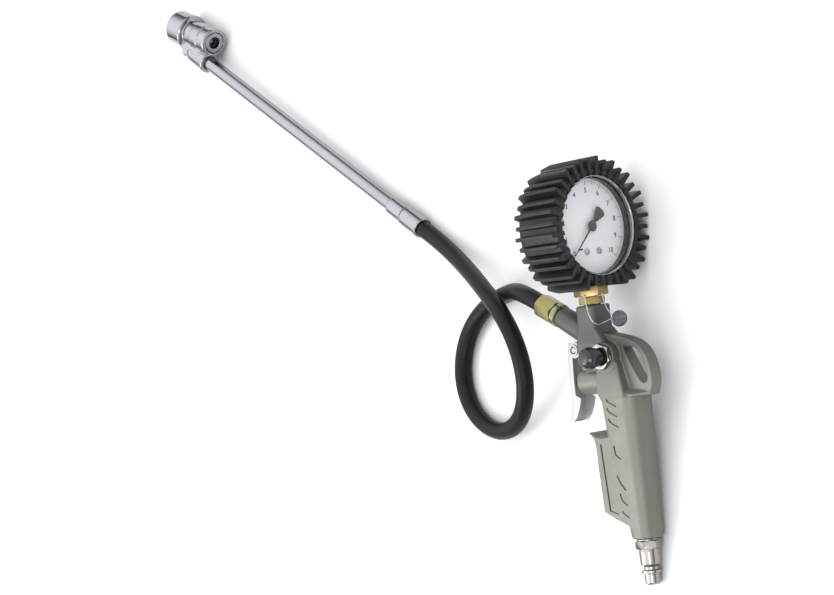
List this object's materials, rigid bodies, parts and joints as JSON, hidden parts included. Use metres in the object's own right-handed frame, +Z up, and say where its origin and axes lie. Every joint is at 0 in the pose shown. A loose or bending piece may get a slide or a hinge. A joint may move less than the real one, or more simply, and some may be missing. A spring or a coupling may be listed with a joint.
{
  "type": "tire inflator gun",
  "caption": "Pistol-grip tire inflator with a rubber-buffered pressure gauge, trigger, release button, looped hose and a long tube with a two-ended chuck.",
  "frame": {"origin": "middle of the underside of the gun's bounding box, without the hose and what hangs on it, on the plane the object lies on", "axes": "+Z up out of the plane the object lies on; +Y along the gun from the inlet nipple at the foot of the grip to the gauge; +X to the rear of the gun, the side the dial faces"},
  "size_m": [0.5222, 0.4365, 0.0839],
  "materials": {
    "cast": "satin",
    "nickel": "bright nickel plate",
    "copper": "bare",
    "chrome": "polished",
    "steel": "turned",
    "brass": "turned",
    "rubber": "smooth",
    "black": "gloss",
    "olive": "olive zinc plate",
    "zinc": "yellow zinc plate",
    "lens": "clear",
    "dial": "matt",
    "buffer": "moulded, slightly glossy",
    "wire": "twisted",
    "lead": "pressed lead",
    "hose": "smooth, slightly glossy"
  },
  "bodies": {
    "gun": {"gun_body": "cast", "inlet_nipple": "nickel", "inlet_washer": "copper", "trigger_pin": "steel", "trigger_pin_clip": "steel", "valve_cartridge": "brass", "valve_stem_seal": "rubber", "valve_spring": "steel", "release_bush": "nickel", "release_seat": "brass", "release_spring": "steel", "hose_nut": "olive", "hose_ferrule": "zinc", "gauge_socket": "brass", "gauge_adaptor": "brass", "gauge_case": "black", "gauge_bezel": "black", "gauge_lens": "lens", "lens_gasket": "black", "gauge_dial": "dial", "dial_screw_left": "steel", "dial_screw_right": "steel", "zero_stop_pin": "black", "sector_axle": "steel", "movement_plate_front": "brass", "movement_plate_rear": "brass", "movement_pillar_left": "brass", "movement_pillar_right": "brass", "bourdon_tube": "brass", "gauge_buffer": "buffer", "seal_wire": "wire", "lead_seal": "lead", "hose": "hose", "end_ferrule": "chrome", "end_collar": "chrome", "extension_tube": "chrome", "chuck_body": "chrome", "foot_a_nut": "chrome", "foot_b_nut": "chrome", "foot_a_washer": "rubber", "foot_b_washer": "rubber", "foot_a_spring": "steel", "foot_b_spring": "steel"},
    "trigger_body": {"trigger": "chrome"},
    "stem_body": {"valve_stem": "steel", "valve_poppet": "rubber"},
    "release_body": {"release_button": "black", "release_stem": "steel", "release_seal": "rubber"},
    "pointer_body": {"pointer": "black", "pointer_arbor": "steel"},
    "sector_body": {"sector_gear": "brass"},
    "pin_a_body": {"foot_a_pin": "brass"},
    "pin_b_body": {"foot_b_pin": "brass"}
  },
  "joints": [
    {"name": "trigger_pull", "type": "hinge", "parent": "gun", "child": "trigger_body", "pos_m": [-0.0135, 0.01422, 0.02949], "axis": [0, -0.1696, 0.9855], "range_deg": [0, 7.5], "stiffness_Nm_per_rad": 0.35, "springref_deg": -6.88},
    {"name": "valve_stem_slide", "type": "slide", "parent": "gun", "child": "stem_body", "axis": [1, 0, 0], "range_m": [0, 0.0027], "deforming": ["valve_spring"]},
    {"name": "release_press", "type": "slide", "parent": "gun", "child": "release_body", "axis": [0, 0.1696, -0.9855], "range_m": [0, 0.0025], "stiffness_N_per_m": 900, "springref_m": -0.002, "deforming": ["release_spring"]},
    {"name": "sector_turn", "type": "hinge", "parent": "gun", "child": "sector_body", "pos_m": [-0.0012, 0.07682, 0.03133], "axis": [1, 0, 0], "range_deg": [0, 33.75], "stiffness_Nm_per_rad": 0.002, "springref_deg": -2.86},
    {"name": "pointer_turn", "type": "hinge", "parent": "gun", "child": "pointer_body", "pos_m": [0.0086, 0.08656, 0.04194], "axis": [-1, 0, 0], "range_deg": [0, 270]},
    {"name": "foot_a_press", "type": "slide", "parent": "gun", "child": "pin_a_body", "axis": [0.9136, -0.4067, 0], "range_m": [0, 0.0026], "stiffness_N_per_m": 400, "springref_m": -0.002, "deforming": ["foot_a_spring"]},
    {"name": "foot_b_press", "type": "slide", "parent": "gun", "child": "pin_b_body", "axis": [-0.9136, 0.4067, 0], "range_m": [0, 0.0026], "stiffness_N_per_m": 400, "springref_m": -0.002, "deforming": ["foot_b_spring"]}
  ],
  "couplings": [
    {"joint": "valve_stem_slide", "follows": "trigger_pull", "m_per_rad": 0.0199},
    {"joint": "pointer_turn", "follows": "sector_turn", "ratio": 8}
  ]
}
